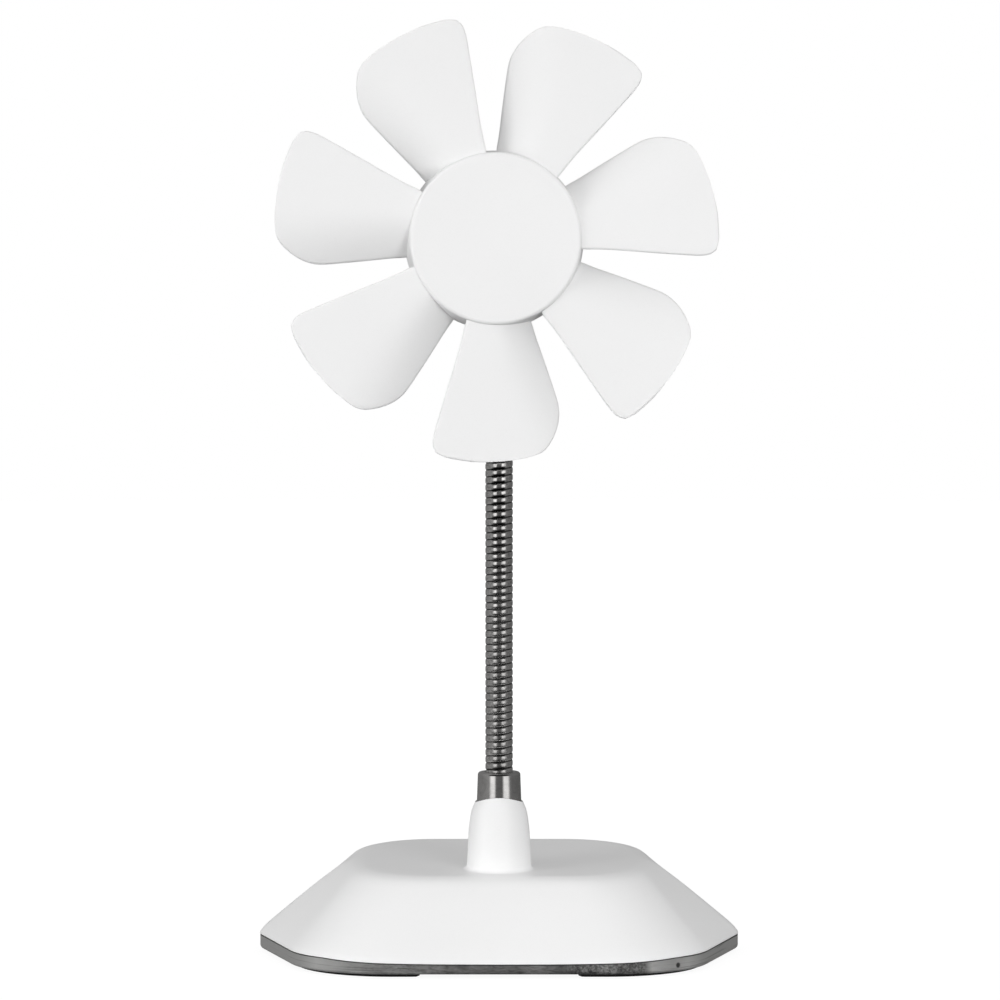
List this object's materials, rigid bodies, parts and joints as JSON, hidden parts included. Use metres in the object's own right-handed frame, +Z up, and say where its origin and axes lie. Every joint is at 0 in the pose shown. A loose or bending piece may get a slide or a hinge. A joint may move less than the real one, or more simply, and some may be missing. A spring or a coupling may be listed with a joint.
{
  "type": "desk fan",
  "caption": "Small desk fan with an open bladed impeller on a bendable steel gooseneck over a weighted base.",
  "frame": {"origin": "on the desk, under the middle of the base", "axes": "+Z up, -Y towards the side that the fan blows to, +X to the right seen from there"},
  "size_m": [0.1592, 0.1342, 0.3063],
  "materials": {
    "white_plastic": "fine satin moulding",
    "black_rubber": "matt",
    "bright_steel": "polished",
    "plate_steel": "mottled, dull",
    "magnet": "sintered, matt",
    "bearing_bronze": "sintered bronze",
    "copper_wire": "enamelled copper",
    "board_green": "solder mask",
    "grey_plastic": "satin"
  },
  "bodies": {
    "base": {"base_shell": "white_plastic", "base_plate": "plate_steel", "foot_front_right": "black_rubber", "foot_rear_right": "black_rubber", "foot_rear_left": "black_rubber", "foot_front_left": "black_rubber", "plate_screw_1": "plate_steel", "plate_screw_2": "plate_steel", "plate_screw_3": "plate_steel", "plate_screw_4": "plate_steel", "board_screw_1": "plate_steel", "board_screw_2": "plate_steel", "lower_ferrule": "bright_steel", "neck_nut": "plate_steel", "control_board": "board_green", "potentiometer": "grey_plastic", "cable_gland": "black_rubber", "neck_root": "bright_steel"},
    "neck_lower": {"neck_lower": "bright_steel"},
    "neck_middle": {"neck_middle": "bright_steel"},
    "neck_upper": {"neck_upper": "bright_steel"},
    "neck_bend": {"neck_bend": "bright_steel"},
    "head": {"neck_tip": "bright_steel", "upper_ferrule": "bright_steel", "motor_housing": "white_plastic", "bearing_sleeve": "bearing_bronze", "stator_core": "plate_steel", "insulator_front": "grey_plastic", "insulator_rear": "grey_plastic", "motor_board": "board_green", "stator_coil_1": "copper_wire", "stator_coil_2": "copper_wire", "stator_coil_3": "copper_wire", "stator_coil_4": "copper_wire"},
    "rotor": {"impeller": "white_plastic", "rotor_yoke": "plate_steel", "rotor_magnet": "magnet", "rotor_shaft": "bright_steel", "shaft_clip": "plate_steel"},
    "dial": {"speed_dial": "grey_plastic", "dial_spindle": "plate_steel"}
  },
  "joints": [
    {"name": "neck_lean", "type": "hinge", "parent": "base", "child": "neck_lower", "pos_m": [0, -0.0215, 0.07], "axis": [1, 0, 0], "range_deg": [-20, 20]},
    {"name": "neck_sway", "type": "hinge", "parent": "neck_lower", "child": "neck_middle", "pos_m": [0, -0.0215, 0.112], "axis": [0, 1, 0], "range_deg": [-22, 22]},
    {"name": "neck_curl", "type": "hinge", "parent": "neck_middle", "child": "neck_upper", "pos_m": [0, -0.0215, 0.16], "axis": [1, 0, 0], "range_deg": [-22, 22]},
    {"name": "head_tilt", "type": "hinge", "parent": "neck_upper", "child": "neck_bend", "pos_m": [0, -0.0215, 0.212], "axis": [1, 0, 0], "range_deg": [-22, 20]},
    {"name": "head_turn", "type": "hinge", "parent": "neck_bend", "child": "head", "pos_m": [-0.00168, -0.03025, 0.23098], "axis": [0, 0, 1], "range_deg": [-22, 22]},
    {"name": "impeller_spin", "type": "hinge", "parent": "head", "child": "rotor", "pos_m": [-0.001, -0.065, 0.2367], "axis": [0.0488, -0.9976, 0.0488], "continuous": true},
    {"name": "dial_turn", "type": "hinge", "parent": "base", "child": "dial", "pos_m": [0.024, 0.05052, 0.0143], "axis": [0, 0, 1], "range_deg": [0, 270]}
  ]
}
